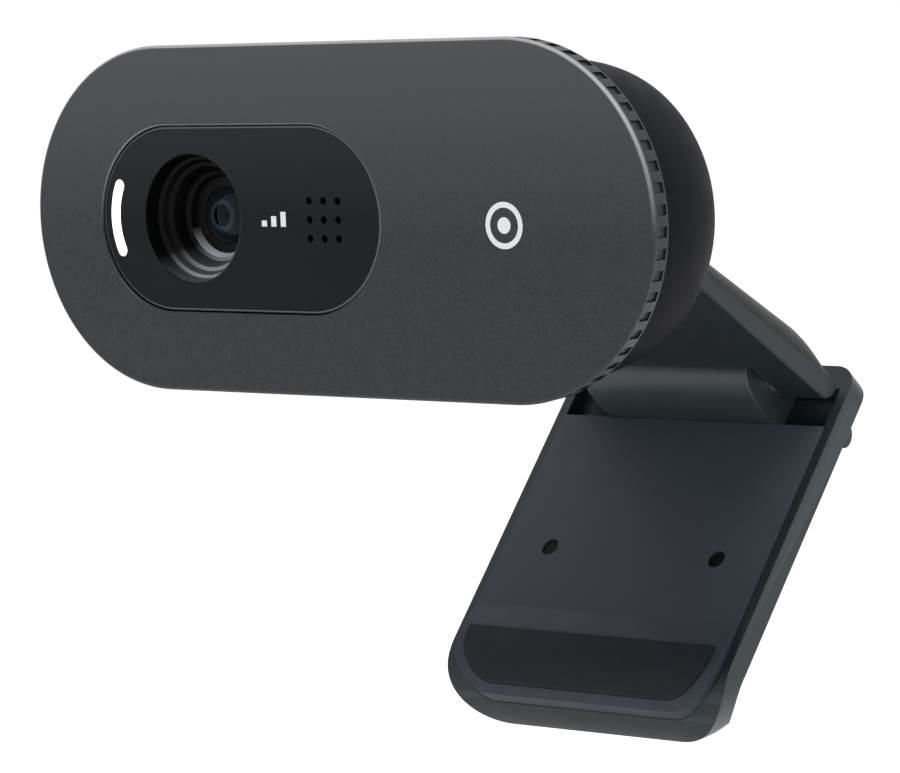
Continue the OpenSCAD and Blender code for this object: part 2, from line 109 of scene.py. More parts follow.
cover_box = local_box("front_cover", HEAD)
HEAD_HALF_W = cover_box[1].x
HEAD_HALF_H = cover_box[1].z
housing_box = local_box("rear_housing", HEAD)
SEAM_GAP = 0.1
RIM_DEPTH = housing_box[0].y - SEAM_GAP
RIM_ROUND = 0.42
COVER_WALL = 1.5
NOTCH_START = 0.6
NOTCH_END = 1.95
NOTCH_DEPTH = 0.2
NOTCH_PITCH = 1.9

panel_box = local_box("lens_panel", HEAD)
PANEL_FACE = panel_box[0].y
PANEL_X = (panel_box[0].x + panel_box[1].x) / 2
# the panel's hidden flange is this much wider than its visible face
FLANGE = 1
PANEL_HALF_W = (panel_box[1].x - panel_box[0].x) / 2 - FLANGE
PANEL_HALF_H = (panel_box[1].z - panel_box[0].z) / 2 - FLANGE
PANEL_THICK = 1.35
PANEL_ROUND = 0.22
WINDOW_CLEAR = 0.12
PRINT_PROUD = 0.012
barrel_box = local_box("lens_barrel", HEAD)
LENS_X = (barrel_box[0].x + barrel_box[1].x) / 2
FUNNEL_R = 6.0
BEZEL_R = 3.9
GLASS_R = 3.38
MARK_X = 20.3
MARK_Z = -0.3
BARS_X = -8.1
BARS_Z = -0.65
BAR_W = 0.62
BAR_PITCH = 1.15
mic_box = local_box("microphone_capsule", HEAD)
MIC_X = (mic_box[0].x + mic_box[1].x) / 2
MIC_PITCH = 1.7
MIC_R = 0.35
LED_X = PANEL_X - PANEL_HALF_W + PANEL_HALF_H
LED_ARC_R = 7.1
LED_HALF_W = 0.6
LED_HALF_ANGLE = 25

HOUSING_DROP = -(housing_box[0].z + housing_box[1].z) / 2
HOUSING_HALF_W = housing_box[1].x
HOUSING_HALF_H = (housing_box[1].z - housing_box[0].z) / 2
HOUSING_SHRINK_W = 13.6
HOUSING_SHRINK_H = 4.0
HOUSING_WALL = 1.4
HEAD_DEPTH = housing_box[1].y

tilt_y = (HEAD.inverted() @ tilt_axis).y
tilt_z = (HEAD.inverted() @ tilt_axis).z
BARREL_R = 3.6
RECESS_R = BARREL_R + 0.4
RECESS_HALF_W = 16.4
RECESS_UP = 12.5
RECESS_DOWN = -41.1
ARM_HALF_W = local_box("clip_arm", ARM)[1].x
hinge_in_arm = ARM.inverted() @ hinge_axis
ARM_LEN = hinge_in_arm.y
ARM_HINGE_Z = hinge_in_arm.z
ARM_END_R = 1.75
ARM_UNDER = (ARM.inverted() @ Vector(mounts["monitor_rest"]["pos_m"])).z
ARM_EDGE_W = 2.6
CROWN_Y = 34
CROWN_Z = 5.6
# rise per millimetre of the line where the arm's side turns into its rounded top
SIDE_RISE = 0.75 / 24
NOTCH_HALF_W = 11.2
NOTCH_Y = ARM_LEN - 5.85
PIN_HOLE_R = 1.24


# ---------------------------------------------------------------- outlines

def arc(cx, cz, radius, start, end, steps):
    """Points along an arc in the XZ plane, angles in degrees from +X towards +Z."""
    angles = [math.radians(start + (end - start) * i / steps) for i in range(steps + 1)]
    return [(cx + radius * math.cos(a), cz + radius * math.sin(a)) for a in angles]


def circle(cx, cz, radius, steps=64):
    """Outline of a circle, grown outwards by the number it is called with."""
    return lambda grow: arc(cx, cz, radius + grow, 0, 360 * (1 - 1 / steps), steps - 1)


def stadium(cx, half_w, half_h, steps=40):
    """Outline with full-round ends, grown outwards by the number it is called with."""
    reach = half_w - half_h

    def outline(grow):
        right = arc(cx + reach, 0, half_h + grow, -90, 90, steps)
        left = arc(cx - reach, 0, half_h + grow, 90, 270, steps)
        return right + left

    return outline


def arc_band(grow):
    """Outline of the glowing bar that follows the panel's round left end."""
    start, end = 180 - LED_HALF_ANGLE, 180 + LED_HALF_ANGLE
    half = LED_HALF_W + grow
    ends = arc(LED_X, 0, LED_ARC_R, start, end, 1)
    outer = arc(LED_X, 0, LED_ARC_R + half, start, end, 24)
    inner = arc(LED_X, 0, LED_ARC_R - half, end, start, 24)
    low_cap = arc(ends[1][0], ends[1][1], half, end, end + 180, 10)[1:-1]
    high_cap = arc(ends[0][0], ends[0][1], half, start + 180, start + 360, 10)[1:-1]
    return outer + low_cap + inner + high_cap


# ---------------------------------------------------------------- mesh building

def ring_at(points, y):
    return [(x, y, z) for x, z in points]


def skin(bm, rings, around=False):
    """Walls between neighbouring rings of equal length; around also joins last to first."""
    loops = [[bm.verts.new(point) for point in ring] for ring in rings]
    pairs = list(zip(loops, loops[1:]))
    if around:
        pairs.append((loops[-1], loops[0]))
    for near, far in pairs:
        for i in range(len(near)):
            j = (i + 1) % len(near)
            bm.faces.new((near[i], near[j], far[j], far[i]))
    return loops


def fillet_steps(radius, steps=5):
    """(inset, depth) pairs round a quarter circle, from the face's edge to the wall."""
    turns = [math.pi / 2 * i / steps for i in range(steps + 1)]
    return [(radius * (1 - math.sin(t)), radius * (1 - math.cos(t))) for t in turns]


def flat_fill(bm, loops):
    """Fills the plane region between an outer loop and any hole loops."""
    edges = []
    for loop in loops:
        for i, vertex in enumerate(loop):
            following = loop[(i + 1) % len(loop)]
            edges.append(bm.edges.get((vertex, following)) or bm.edges.new((vertex, following)))
    bmesh.ops.triangle_fill(bm, use_beauty=True, use_dissolve=False, edges=edges)


def plate(bm, outline, holes, face, back, outer_round, hole_round):
    """Flat plate between y = face and y = back, with round edges and round-edged holes."""
    fronts, backs = [], []
    rings = [ring_at(outline(-inset), face + depth) for inset, depth in fillet_steps(outer_round)]
    loops = skin(bm, rings + [ring_at(outline(0), back)])
    fronts.append(loops[0])
    backs.append(loops[-1])
    for hole in holes:
        rings = [ring_at(hole(inset), face + depth)
                 for inset, depth in fillet_steps(hole_round, 3)]
        loops = skin(bm, rings + [ring_at(hole(0), back)])
        fronts.append(loops[0])
        backs.append(loops[-1])
    flat_fill(bm, fronts)
    flat_fill(bm, backs)


def lathe(bm, profile, cx=0.0, cz=0.0, steps=96):
    """Turns (radius, y) points about the axis along Y through (cx, cz)."""
    skin(bm, [ring_at(arc(cx, cz, radius, 0, 360 * (1 - 1 / steps), steps - 1), y)
              for radius, y in profile], around=True)


def new_object(name, data):
    obj = bpy.data.objects.new(name, data)
    bpy.context.scene.collection.objects.link(obj)
    return obj


def object_of(name, bm, place=None):
    """Turns a bmesh into an object; a place takes it out of its body's frame."""
    if place:
        bmesh.ops.recalc_face_normals(bm, faces=bm.faces)
        bm.transform(place)
    mesh = bpy.data.meshes.new(name)
    bm.to_mesh(mesh)
    bm.free()
    return new_object(name, mesh)


def piece(name, body, material, bm, place, replaced=(), sharp=32):
    """Turns a bmesh in millimetres into a smooth-shaded piece that rides on a body."""
    bmesh.ops.remove_doubles(bm, verts=bm.verts, dist=1e-4)
    bmesh.ops.dissolve_degenerate(bm, edges=bm.edges, dist=1e-5)
    dress(object_of(name, bm, place), body, material, replaced, sharp)


def dress(obj, body, material, replaced=(), sharp=32):
    """Shading, material and body of a finished mesh."""
    soften(obj.data, sharp)
    weigh = obj.modifiers.new("weigh", "WEIGHTED_NORMAL")
    weigh.keep_sharp = True
    weigh.weight = 90
    apply_modifiers(obj)
    obj.data.materials.clear()
    obj.data.materials.append(material)
    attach(obj, body)
    if replaced:
        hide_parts(*replaced)


def areas_of_flats(bm):
    """For each face, the area of the flat region of faces that it belongs to."""
    bm.faces.ensure_lookup_table()
    area = [0.0] * len(bm.faces)
    seen = [False] * len(bm.faces)
    for start in bm.faces:
        if seen[start.index]:
            continue
        seen[start.index] = True
        group, total = [start], 0.0
        for face in group:
            total += face.calc_area()
            for edge in face.edges:
                for other in edge.link_faces:
                    near = other.normal.dot(start.normal) > 1 - 2e-6
                    if near and not seen[other.index]:
                        seen[other.index] = True
                        group.append(other)
        for face in group:
            area[face.index] = total
    return area


def soften(mesh, sharp):
    """Smooth shading that breaks at edges steeper than sharp degrees."""
    bm = bmesh.new()
    bm.from_mesh(mesh)
    flat_area = areas_of_flats(bm)
    for face in bm.faces:
        face.smooth = True
    for edge in bm.edges:
        if len(edge.link_faces) != 2:
            continue
        angle = edge.calc_face_angle()
        small, large = sorted(flat_area[face.index] for face in edge.link_faces)
        border = large > 7 * small and angle > math.radians(1.5)
        edge.smooth = angle < math.radians(sharp) and not border
    bm.to_mesh(mesh)
    bm.free()


def apply_modifiers(obj):
    """Replaces a piece's mesh by what its modifiers make of it."""
    graph = bpy.context.evaluated_depsgraph_get()
    done = bpy.data.meshes.new_from_object(obj.evaluated_get(graph))
    obj.modifiers.clear()
    obj.data = done


def add_bevel(obj, width, segments=3, limit=32):
    bevel = obj.modifiers.new("bevel", "BEVEL")
    bevel.width = width * MM
    bevel.segments = segments
    bevel.limit_method = "ANGLE"
    bevel.angle_limit = math.radians(limit)
    bevel.use_clamp_overlap = True


def rounded_node(node, name, width, material, body, segments=3):
    """A copy of a CAD node with its flat faces cleaned and its edges rounded by width."""
    mesh = frame["nodes"][node].data.copy()
    bm = bmesh.new()
    bm.from_mesh(mesh)
    bmesh.ops.remove_doubles(bm, verts=bm.verts, dist=2e-6)
    bmesh.ops.dissolve_limit(bm, angle_limit=math.radians(0.8), verts=bm.verts, edges=bm.edges)
    bm.to_mesh(mesh)
    bm.free()
    obj = new_object(name, mesh)
    add_bevel(obj, width, segments)
    apply_modifiers(obj)
    dress(obj, body, material, (node,))


# ---------------------------------------------------------------- materials

class Nodes:
    """Short way to add and link shader nodes."""

    def __init__(self, name):
        self.material = bpy.data.materials.new(name)
        self.material.use_nodes = True
        self.tree = self.material.node_tree
        self.tree.nodes.clear()
        self.out = self.add("ShaderNodeOutputMaterial")
        self.shader = self.add("ShaderNodeBsdfPrincipled")
        self.link(self.shader.outputs["BSDF"], self.out.inputs["Surface"])
        self.coords = self.add("ShaderNodeTexCoord").outputs["Object"]

    def add(self, kind, **values):
        node = self.tree.nodes.new(kind)
        for key, value in values.items():
            setattr(node, key, value)
        return node

    def link(self, source, target):
        self.tree.links.new(source, target)

    def noise(self, size_mm, detail=2.0, rough=0.5):
        node = self.add("ShaderNodeTexNoise")
        self.link(self.coords, node.inputs["Vector"])
        node.inputs["Scale"].default_value = 1 / (size_mm * MM)
        node.inputs["Detail"].default_value = detail
        node.inputs["Roughness"].default_value = rough
        return node.outputs["Fac"]

    def cells(self, size_mm):
        node = self.add("ShaderNodeTexVoronoi")
        self.link(self.coords, node.inputs["Vector"])
        node.inputs["Scale"].default_value = 1 / (size_mm * MM)
        return node.outputs["Distance"]

    def remap(self, value, low, high, to_low, to_high):
        node = self.add("ShaderNodeMapRange")
        self.link(value, node.inputs["Value"])
        for socket, number in zip(("From Min", "From Max", "To Min", "To Max"),
                                  (low, high, to_low, to_high)):
            node.inputs[socket].default_value = number
        return node.outputs["Result"]

    def mix(self, factor, first, second):
        """Colour mix; first and second are colours or sockets."""
        node = self.add("ShaderNodeMix", data_type="RGBA")
        self.link(factor, node.inputs["Factor"])
        for socket, value in ((node.inputs[6], first), (node.inputs[7], second)):
            if isinstance(value, tuple):
                socket.default_value = (*value, 1)
            else:
                self.link(value, socket)
        return node.outputs[2]

    def bump(self, height, strength, distance_mm, after=None):
        node = self.add("ShaderNodeBump")
        self.link(height, node.inputs["Height"])
        node.inputs["Strength"].default_value = strength
        node.inputs["Distance"].default_value = distance_mm * MM
        if after:
            self.link(after, node.inputs["Normal"])
        return node.outputs["Normal"]

    def edges(self, low=0.52, high=0.6):
        """Nearly 0 on faces and 1 along convex edges."""
        point = self.add("ShaderNodeNewGeometry").outputs["Pointiness"]
        return self.remap(point, low, high, 0, 1)


def shaded(n, mask, colour):
    """Takes what feeds a material's colour towards another colour where the mask is 1."""
    socket = n.shader.inputs["Base Color"]
    n.link(n.mix(mask, socket.links[0].from_socket, colour), socket)


def height_mask(n, direction, origin, low, high):
    """0 below low and 1 above high, in millimetres along a direction from an origin."""
    dot = n.add("ShaderNodeVectorMath", operation="DOT_PRODUCT")
    n.link(n.coords, dot.inputs[0])
    dot.inputs[1].default_value = direction
    base = origin.dot(direction)
    return n.remap(dot.outputs["Value"], base + low * MM, base + high * MM, 0, 1)


def scaled(colour, factor):
    return tuple(min(1.0, channel * factor) for channel in colour)


def painted_light_tone(direction, origin, low, high, other):
    """Layer of painted light or shade: blends to another colour along a direction, from low to high."""
    return lambda n: shaded(n, height_mask(n, direction, origin, low, high), other)


def band(start, end, other, rise=(-99, -98)):
    """Layer of painted highlight colour between two depths in the head, above a rising height."""
    def add_to(n):
        mask = height_mask(n, INWARD, head_centre, start, start + 0.05)
        for direction, low, high in ((-INWARD, -end, -end + 0.05), (UPWARD, *rise)):
            both = n.add("ShaderNodeMath", operation="MULTIPLY")
            n.link(mask, both.inputs[0])
            n.link(height_mask(n, direction, head_centre, low, high), both.inputs[1])
            mask = both.outputs[0]
        shaded(n, mask, other)
    return add_to


def moulded_plastic(name, colour, roughness, grain_mm, grain_depth, specks=0.0, wear_and_highlight=0.35,
                    gloss=0.5, mottle=1.18, painted_light_layers=()):
    """Injection-moulded plastic: mottled colour, spark-eroded grain, edges lightened as part wear and part painted
    highlight, and layers of painted light and shade on top.
    """
    n = Nodes(name)
    cloud = n.remap(n.noise(9, 3), 0.3, 0.7, 0, 1)
    body = n.mix(cloud, scaled(colour, 0.93), scaled(colour, 1.07))
    grain = n.noise(grain_mm, 3, 0.6)
    body = n.mix(n.remap(grain, 0.35, 0.7, 0, 1), body, scaled(colour, mottle))
    if specks:
        dots = n.remap(n.cells(0.9), 0.05, 0.11, specks, 0)
        body = n.mix(dots, body, scaled(colour, 3.2))
        pits = n.remap(n.cells(1.25), 0.04, 0.09, specks, 0)
        body = n.mix(pits, body, scaled(colour, 0.35))
    # Lighter edges: part wear, part painted highlight.
    worn_and_lit = n.add("ShaderNodeMath", operation="MULTIPLY")
    n.link(n.edges(), worn_and_lit.inputs[0])
    worn_and_lit.inputs[1].default_value = wear_and_highlight
    body = n.mix(worn_and_lit.outputs[0], body, scaled(colour, 2.0))
    n.link(body, n.shader.inputs["Base Color"])
    blotch = n.noise(2.5, 4)
    n.link(n.remap(blotch, 0.3, 0.7, roughness - 0.04, roughness + 0.04),
           n.shader.inputs["Roughness"])
    n.shader.inputs["Specular IOR Level"].default_value = gloss
    fine = n.bump(grain, 0.5, grain_depth)
    wave = n.bump(n.noise(6, 1), 0.15, 0.02, after=fine)
    n.link(wave, n.shader.inputs["Normal"])
    # Layers of painted light and shade.
    for layer in painted_light_layers:
        layer(n)
    return n.material


def soft_rubber(name, colour, roughness):
    n = Nodes(name)
    dust = n.remap(n.noise(1.8, 5, 0.7), 0.45, 0.75, 0, 1)
    n.link(n.mix(dust, colour, scaled(colour, 1.35)), n.shader.inputs["Base Color"])
    n.link(n.remap(n.noise(0.7, 3), 0.3, 0.7, roughness - 0.06, roughness + 0.06),
           n.shader.inputs["Roughness"])
    n.link(n.bump(n.noise(0.2, 2), 0.12, 0.005), n.shader.inputs["Normal"])
    n.shader.inputs["Specular IOR Level"].default_value = 0.16
    return n.material


def turned_metal(name, colour, roughness, stretch=(1, 1, 1)):
    """Metal with fine machining lines; stretch squeezes the lines along one axis."""
    n = Nodes(name)
    mapping = n.add("ShaderNodeMapping")
    n.link(n.coords, mapping.inputs["Vector"])
    mapping.inputs["Scale"].default_value = stretch
    n.coords = mapping.outputs["Vector"]
    lines = n.noise(0.25, 4, 0.65)
    n.link(n.mix(lines, scaled(colour, 0.8), scaled(colour, 1.1)), n.shader.inputs["Base Color"])
    n.link(n.remap(lines, 0.3, 0.7, roughness - 0.08, roughness + 0.08),
           n.shader.inputs["Roughness"])
    n.shader.inputs["Metallic"].default_value = 1.0
    n.link(n.bump(lines, 0.2, 0.01), n.shader.inputs["Normal"])
    return n.material


def coated_glass(name, colour, roughness, centre=None):
    """Dark coated lens glass; around a centre it gets a painted black pupil (painted shade) and a lighter ring
    (painted reflection).
    """
    n = Nodes(name)
    tint = n.remap(n.noise(3.5, 1), 0.35, 0.65, 0, 1)
    n.link(n.mix(tint, colour, scaled(colour, 1.5)), n.shader.inputs["Base Color"])
    if centre:
        squash = n.add("ShaderNodeVectorMath", operation="MULTIPLY")
        n.link(n.coords, squash.inputs[0])
        squash.inputs[1].default_value = (1, 0, 1)
        reach = n.add("ShaderNodeVectorMath", operation="DISTANCE")
        n.link(squash.outputs[0], reach.inputs[0])
        reach.inputs[1].default_value = (centre.x, 0, centre.z)
        far = reach.outputs["Value"]
        # Painted reflection ring, then the painted shade of a black pupil inside it.
        ring = n.remap(far, 1.3 * MM, 1.6 * MM, 1, 0)
        shaded(n, ring, scaled(colour, 5.0))
        shaded(n, n.remap(far, 0.95 * MM, 1.15 * MM, 1, 0), scaled(colour, 0.1))
    n.link(n.remap(n.noise(1.5, 2), 0.3, 0.7, roughness, roughness + 0.02),
           n.shader.inputs["Roughness"])
    n.shader.inputs["Specular IOR Level"].default_value = 0.10
    n.shader.inputs["Coat Weight"].default_value = 0.03
    n.shader.inputs["Coat Roughness"].default_value = 0.02
    n.shader.inputs["Specular Tint"].default_value = (0.7, 0.8, 1.0, 1)
    n.link(n.bump(n.noise(5, 1), 0.05, 0.005), n.shader.inputs["Normal"])
    return n.material


def glowing(name, colour, strength):
    """Lit diffuser, a little brighter in the middle of its milky body."""
    n = Nodes(name)
    milk = n.remap(n.noise(0.8, 2), 0.3, 0.7, 0, 1)
    n.link(n.mix(milk, scaled(colour, 0.94), colour), n.shader.inputs["Base Color"])
    n.link(n.mix(milk, scaled(colour, 0.94), colour), n.shader.inputs["Emission Color"])
    n.shader.inputs["Emission Strength"].default_value = strength
    n.link(n.remap(milk, 0, 1, 0.35, 0.45), n.shader.inputs["Roughness"])
    return n.material


def printed_ink(name, colour):
    n = Nodes(name)
    cover = n.remap(n.noise(0.15, 3), 0.3, 0.7, 0, 1)
    n.link(n.mix(cover, scaled(colour, 0.9), colour), n.shader.inputs["Base Color"])
    n.link(n.remap(cover, 0, 1, 0.5, 0.6), n.shader.inputs["Roughness"])
    n.link(n.bump(cover, 0.2, 0.01), n.shader.inputs["Normal"])
    return n.material


def circuit_laminate(name, mask, copper):
    """Solder mask over etched tracks on a fine grid."""
    n = Nodes(name)
    brick = n.add("ShaderNodeTexBrick")
    turn = n.add("ShaderNodeMapping")
    n.link(n.coords, turn.inputs["Vector"])
    turn.inputs["Rotation"].default_value = (math.pi / 2, 0, 0)
    n.link(turn.outputs["Vector"], brick.inputs["Vector"])
    brick.inputs["Scale"].default_value = 900
    brick.inputs["Mortar Size"].default_value = 0.06
    n.link(n.mix(brick.outputs["Fac"], mask, copper), n.shader.inputs["Base Color"])
    n.link(n.remap(n.noise(0.6, 3), 0.3, 0.7, 0.25, 0.4), n.shader.inputs["Roughness"])
    n.link(n.bump(brick.outputs["Fac"], 0.3, 0.02), n.shader.inputs["Normal"])
    return n.material


lens_centre = head_centre + Vector((LENS_X * MM, 0, 0))
flap_centre = Vector(FLAP.translation)
arm_normal = Vector(ARM.col[2][:3]).normalized()
arm_along = Vector(ARM.col[1][:3]).normalized()
# Direction towards the lens cone's upper left, and the colour of the painted shade there.
SHADE_SIDE = Vector((-0.45, 0, 0.9))
DEEP_SHADE = (0.0006, 0.0008, 0.0008)
# Cover: painted lighter towards its top as painted light, its side wall darker as painted shade, and a painted
# highlight in a narrow band along its front edge, upper part only.
COVER = moulded_plastic("cover_plastic", (0.0072, 0.0084, 0.0102), 0.42, 0.2, 0.09,
                        specks=0.5, gloss=0.25, mottle=2.4, wear_and_highlight=0, painted_light_layers=(
                            painted_light_tone(UPWARD, head_centre, -2, 17, (0.040, 0.041, 0.045)),
                            painted_light_tone(INWARD, head_centre, 0.36, 0.6, (0.0085, 0.0096, 0.0110)),
                            band(0.02, 0.34, (0.22, 0.225, 0.23), (-1, 9))))
# Panel: painted lighter towards its top, as painted light.
PANEL = moulded_plastic("panel_plastic", (0.0010, 0.0015, 0.0026), 0.36, 0.12, 0.015, wear_and_highlight=0,
                        gloss=0.12,
                        painted_light_layers=(painted_light_tone(UPWARD, head_centre, 0, 11, (0.0100, 0.0125, 0.0150)),))
# Light colour of the thin strip on the panel's edge: a painted highlight.
PANEL_EDGE_HIGHLIGHT = moulded_plastic("panel_edge_highlight", (0.045, 0.048, 0.052), 0.3, 0.12, 0.01, wear_and_highlight=0,
                             gloss=0.5)
# Painted highlight colour for the lens cone's ledges; the bezel is painted with it, brighter still.
LEDGE_HIGHLIGHT = (0.16, 0.17, 0.18)
# Lens cone: painted highlights on three ledges and painted shade on its upper left.
SHROUD = moulded_plastic("shroud_plastic", (0.030, 0.033, 0.037), 0.40, 0.12, 0.01, wear_and_highlight=0,
                         gloss=0.06, painted_light_layers=(
                             band(1.70, 1.92, LEDGE_HIGHLIGHT), band(2.48, 2.68, LEDGE_HIGHLIGHT),
                             band(3.90, 4.12, LEDGE_HIGHLIGHT),
                             painted_light_tone(SHADE_SIDE, lens_centre, -4.2, -1.0, DEEP_SHADE)))
# Bezel: its bright colour is a painted highlight, with painted shade towards its upper left.
BEZEL = moulded_plastic("bezel_plastic", scaled(LEDGE_HIGHLIGHT, 1.9), 0.35, 0.12, 0.01, wear_and_highlight=0, gloss=0.1,
                        painted_light_layers=(painted_light_tone(SHADE_SIDE, lens_centre, -2.6, 0.6, DEEP_SHADE),))
BARREL = moulded_plastic("barrel_plastic", (0.003, 0.003, 0.0035), 0.4, 0.12, 0.015, gloss=0.1)
# Housing: painted shade, darker towards the bottom; over the right end one flat colour, darker than the top,
# replaces that gradient.
HOUSING = moulded_plastic("housing_plastic", (0.0012, 0.0013, 0.0018), 0.55, 0.14, 0.03,
                          specks=0.08, gloss=0.02, wear_and_highlight=0, painted_light_layers=(
                              painted_light_tone(UPWARD, head_centre, -13, -3, (0.0075, 0.0082, 0.0110)),
                              painted_light_tone(SIDEWAYS, head_centre, 26, 36,
                                   (0.0042, 0.0046, 0.0062))))
# Arm: its rounded top is painted darker than its sides as painted shade; edges lightened part by wear, part as
# painted highlight.
ARM_PLASTIC = moulded_plastic("clip_plastic", (0.0098, 0.0130, 0.0155), 0.44, 0.14, 0.03,
                              gloss=0.22, painted_light_layers=(
                                  painted_light_tone(arm_normal - SIDE_RISE * arm_along, tilt_axis, 1.75, 2.0,
                                       (0.0010, 0.0016, 0.0020)),))
# Knuckle and tray: strongly lightened edges, painted highlights along their edges and ridges.
FLAP_PLASTIC = moulded_plastic("flap_plastic", (0.0150, 0.0200, 0.0215), 0.42, 0.2, 0.06,
                               specks=0.14, gloss=0.4, wear_and_highlight=1.0)
TRAY_PLASTIC = moulded_plastic("tray_plastic", (0.0085, 0.0120, 0.0140), 0.34, 0.2, 0.05,
                               specks=0.14, gloss=0.24, wear_and_highlight=1.0)
# Lining plate: painted lighter towards its top, as painted light.
PLATE = moulded_plastic("plate_plastic", (0.0185, 0.0220, 0.0310), 0.46, 0.14, 0.015, gloss=0.2,
                        wear_and_highlight=0, painted_light_layers=(
                            painted_light_tone(UPWARD, flap_centre, -24, -4, (0.034, 0.042, 0.050)),))
RUBBER = soft_rubber("pad_rubber", (0.0045, 0.0068, 0.0095), 0.55)
GLAND_RUBBER = soft_rubber("gland_rubber", (0.005, 0.005, 0.006), 0.6)
CLOTH = soft_rubber("mesh_cloth", (0.004, 0.004, 0.005), 0.8)
STEEL = turned_metal("pin_steel", (0.55, 0.56, 0.57), 0.32, (0.05, 1, 1))
SPRING = turned_metal("washer_steel", (0.70, 0.71, 0.72), 0.3)
# Screws painted near-black as painted shade in their holes.
SCREW_PAINTED_SHADE = turned_metal("screw_steel", (0.010, 0.010, 0.011), 0.5)
CAN = turned_metal("can_aluminium", (0.6, 0.61, 0.62), 0.4)
# Front glass: painted black pupil as painted shade, painted reflection ring round it.
LENS_GLASS = coated_glass("lens_glass", (0.0045, 0.0065, 0.0085), 0.06, lens_centre)
FILTER = coated_glass("filter_glass", (0.20, 0.05, 0.08), 0.1)
GLOW = glowing("light_guide", (1.0, 1.0, 1.0), 1.6)
INK = printed_ink("print_ink", (0.50, 0.51, 0.53))
LAMINATE = circuit_laminate("board_laminate", (0.012, 0.07, 0.035), (0.03, 0.14, 0.07))
CHIP = moulded_plastic("chip_plastic", (0.012, 0.012, 0.013), 0.5, 0.1, 0.02)
NYLON = moulded_plastic("connector_plastic", (0.72, 0.67, 0.52), 0.4, 0.2, 0.02)

# ---------------------------------------------------------------- front of the head


def stadium_walk(half_w, half_h, cx, grow, share):
    """Point a share of the way round a stadium's outline, starting at the lower right."""
    reach = half_w - half_h
    bend = math.pi * HEAD_HALF_H
    straight = 2 * (HEAD_HALF_W - HEAD_HALF_H)
    walk = share * 2 * (bend + straight)
    radius = half_h + grow
    if walk < bend:
        turn = -math.pi / 2 + walk / HEAD_HALF_H
        return (cx + reach + radius * math.cos(turn), radius * math.sin(turn))
    walk -= bend
    if walk < straight:
        return (cx + reach - 2 * reach * walk / straight, radius)
    walk -= straight
    if walk < bend:
        turn = math.pi / 2 + walk / HEAD_HALF_H
        return (cx - reach + radius * math.cos(turn), radius * math.sin(turn))
    walk -= bend
    return (cx - reach + 2 * reach * walk / straight, -radius)


def build_cover():
    """Front shell: window for the panel, rounded rim, and a row of notches at the seam."""
    length = 2 * math.pi * HEAD_HALF_H + 4 * (HEAD_HALF_W - HEAD_HALF_H)
    count = round(length / NOTCH_PITCH)
    walk = []
    for i in range(count):
        for share, cut in ((0, 0), (0.25, 0), (0.5, 0), (0.5, 1), (0.75, 1), (1, 1), (1, 0)):
            walk.append((((i + share) / count) % 1, cut))

    def outer(grow, cut_depth=0.0):
        return [stadium_walk(HEAD_HALF_W, HEAD_HALF_H, 0, grow - cut_depth * cut, share)
                for share, cut in walk]

    def window(grow):
        return [stadium_walk(PANEL_HALF_W + WINDOW_CLEAR, PANEL_HALF_H + WINDOW_CLEAR,
                             PANEL_X, grow, share) for share, cut in walk]

    bm = bmesh.new()
    rings = [ring_at(window(0), COVER_WALL), ring_at(window(0), 0.1), ring_at(window(0.1), 0)]
    rings += [ring_at(outer(-inset), depth) for inset, depth in fillet_steps(RIM_ROUND, 7)]
    rings.append(ring_at(outer(-0.04), NOTCH_START))
    rings.append(ring_at(outer(-0.04, NOTCH_DEPTH), NOTCH_START))
    rings.append(ring_at(outer(-0.08, NOTCH_DEPTH), NOTCH_END))
    rings.append(ring_at(outer(-0.08), NOTCH_END))
    rim_end = RIM_DEPTH - 0.08
    rings.append(ring_at(outer(-0.12), rim_end - 0.06))
    rings.append(ring_at(outer(-0.2), rim_end))
    rings.append(ring_at(outer(-COVER_WALL), rim_end))
    rings.append(ring_at(outer(-COVER_WALL), COVER_WALL))
    skin(bm, rings, around=True)
    piece("cover_shell", "head", COVER, bm, HEAD, ("front_cover",))
    # Thin dark strip in the seam between cover and housing: painted shadow of the seam.
    bm = bmesh.new()
    edge = stadium(0, HEAD_HALF_W, HEAD_HALF_H)
    front, back = RIM_DEPTH - 0.07, RIM_DEPTH + 0.07
    skin(bm, [ring_at(edge(inset), y) for inset, y in
              ((-0.16, front), (-0.16, back), (-1.4, back), (-1.4, front))], around=True)
    piece("seam_shadow_strip", "head", BARREL, bm, HEAD)


def build_panel():
    """Inset panel with holes for the lens, light bar and microphone, and a thin strip on its edge with a painted
    highlight.
    """
    bm = bmesh.new()
    holes = [circle(LENS_X, 0, FUNNEL_R - 0.02, 96), arc_band]
    for i in (-1, 0, 1):
        for j in (-1, 0, 1):
            holes.append(circle(MIC_X + i * MIC_PITCH, j * MIC_PITCH, MIC_R, 20))
    outline = stadium(PANEL_X, PANEL_HALF_W, PANEL_HALF_H, 56)
    plate(bm, outline, holes, PANEL_FACE, PANEL_FACE + PANEL_THICK, PANEL_ROUND, 0.09)
    piece("panel_face", "head", PANEL, bm, HEAD, ("lens_panel",))
    # Thin light strip on the panel's edge: a painted highlight.
    bm = bmesh.new()
    proud = 0.012
    rings = [ring_at(outline(proud - inset), PANEL_FACE + depth - proud)
             for inset, depth in fillet_steps(PANEL_ROUND)]
    rings.append(ring_at(outline(-0.25), PANEL_FACE + 0.25))
    skin(bm, rings, around=True)
    piece("panel_edge_highlight", "head", PANEL_EDGE_HIGHLIGHT, bm, HEAD)


